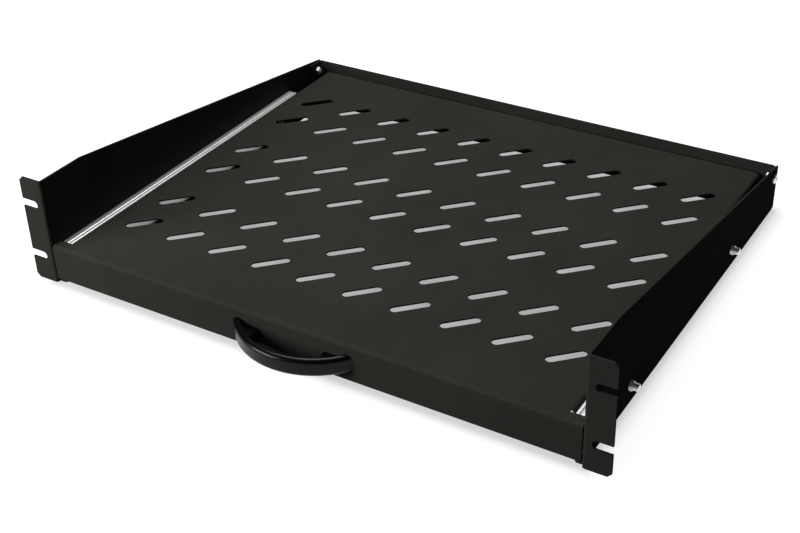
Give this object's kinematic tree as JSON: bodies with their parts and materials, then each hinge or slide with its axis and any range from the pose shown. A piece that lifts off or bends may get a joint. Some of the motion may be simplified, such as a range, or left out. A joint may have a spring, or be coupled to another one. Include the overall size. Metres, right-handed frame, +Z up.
{
  "type": "sliding rack shelf",
  "caption": "Pull-out vented shelf for a 19 inch rack, with slotted ears, sloped side brackets, ball slides and a bow handle on the front of the tray.",
  "frame": {"origin": "on the centre line, on the plane where the backs of the ears bear on the rack rails, level with the lower edge of the ears", "axes": "+X to the right as seen from the front of the rack, +Y into the rack, +Z up"},
  "size_m": [0.4826, 0.3915, 0.0881],
  "materials": {
    "black_powder_coat": "fine satin powder coat",
    "zinc_plated_steel": "bright zinc plating",
    "black_plated_steel": "black zinc plating",
    "handle_plastic": "smooth, half gloss",
    "bearing_steel": "polished",
    "bumper_rubber": "matt"
  },
  "bodies": {
    "frame": {"left_side_bracket": "black_powder_coat", "right_side_bracket": "black_powder_coat", "rear_panel": "black_powder_coat", "rear_panel_lip": "black_powder_coat", "rear_panel_screws": "zinc_plated_steel", "rear_panel_nuts": "zinc_plated_steel", "left_bracket_bend": "black_powder_coat", "left_bracket_ledge": "black_powder_coat", "left_slide_inner": "zinc_plated_steel", "left_slide_screws": "zinc_plated_steel", "left_clinch_nuts": "zinc_plated_steel", "right_bracket_bend": "black_powder_coat", "right_bracket_ledge": "black_powder_coat", "right_slide_inner": "zinc_plated_steel", "right_slide_screws": "zinc_plated_steel", "right_clinch_nuts": "zinc_plated_steel"},
    "tray": {"tray": "black_powder_coat", "tray_front_apron": "black_powder_coat", "tray_rear_flange": "black_powder_coat", "handle": "handle_plastic", "handle_screws": "zinc_plated_steel", "left_tray_flange": "black_powder_coat", "left_slide_outer": "zinc_plated_steel", "left_slide_bumper": "bumper_rubber", "left_tray_screws": "black_plated_steel", "right_tray_flange": "black_powder_coat", "right_slide_outer": "zinc_plated_steel", "right_slide_bumper": "bumper_rubber", "right_tray_screws": "black_plated_steel"},
    "left_middle": {"left_slide_middle": "zinc_plated_steel"},
    "left_outer_cage": {"left_outer_ball_cage": "zinc_plated_steel", "left_outer_balls": "bearing_steel"},
    "left_inner_cage": {"left_inner_ball_cage": "zinc_plated_steel", "left_inner_balls": "bearing_steel"},
    "right_middle": {"right_slide_middle": "zinc_plated_steel"},
    "right_outer_cage": {"right_outer_ball_cage": "zinc_plated_steel", "right_outer_balls": "bearing_steel"},
    "right_inner_cage": {"right_inner_ball_cage": "zinc_plated_steel", "right_inner_balls": "bearing_steel"}
  },
  "joints": [
    {"name": "tray_slide", "type": "slide", "parent": "frame", "child": "tray", "axis": [0, -1, 0], "range_m": [0, 0.3]},
    {"name": "left_middle_slide", "type": "slide", "parent": "frame", "child": "left_middle", "axis": [0, -1, 0], "range_m": [0, 0.15]},
    {"name": "left_outer_cage_slide", "type": "slide", "parent": "frame", "child": "left_outer_cage", "axis": [0, -1, 0], "range_m": [0, 0.225]},
    {"name": "left_inner_cage_slide", "type": "slide", "parent": "frame", "child": "left_inner_cage", "axis": [0, -1, 0], "range_m": [0, 0.075]},
    {"name": "right_middle_slide", "type": "slide", "parent": "frame", "child": "right_middle", "axis": [0, -1, 0], "range_m": [0, 0.15]},
    {"name": "right_outer_cage_slide", "type": "slide", "parent": "frame", "child": "right_outer_cage", "axis": [0, -1, 0], "range_m": [0, 0.225]},
    {"name": "right_inner_cage_slide", "type": "slide", "parent": "frame", "child": "right_inner_cage", "axis": [0, -1, 0], "range_m": [0, 0.075]}
  ],
  "couplings": [
    {"joint": "left_middle_slide", "follows": "tray_slide", "ratio": 0.5},
    {"joint": "left_outer_cage_slide", "follows": "tray_slide", "ratio": 0.75},
    {"joint": "left_inner_cage_slide", "follows": "tray_slide", "ratio": 0.25},
    {"joint": "right_middle_slide", "follows": "tray_slide", "ratio": 0.5},
    {"joint": "right_outer_cage_slide", "follows": "tray_slide", "ratio": 0.75},
    {"joint": "right_inner_cage_slide", "follows": "tray_slide", "ratio": 0.25}
  ]
}
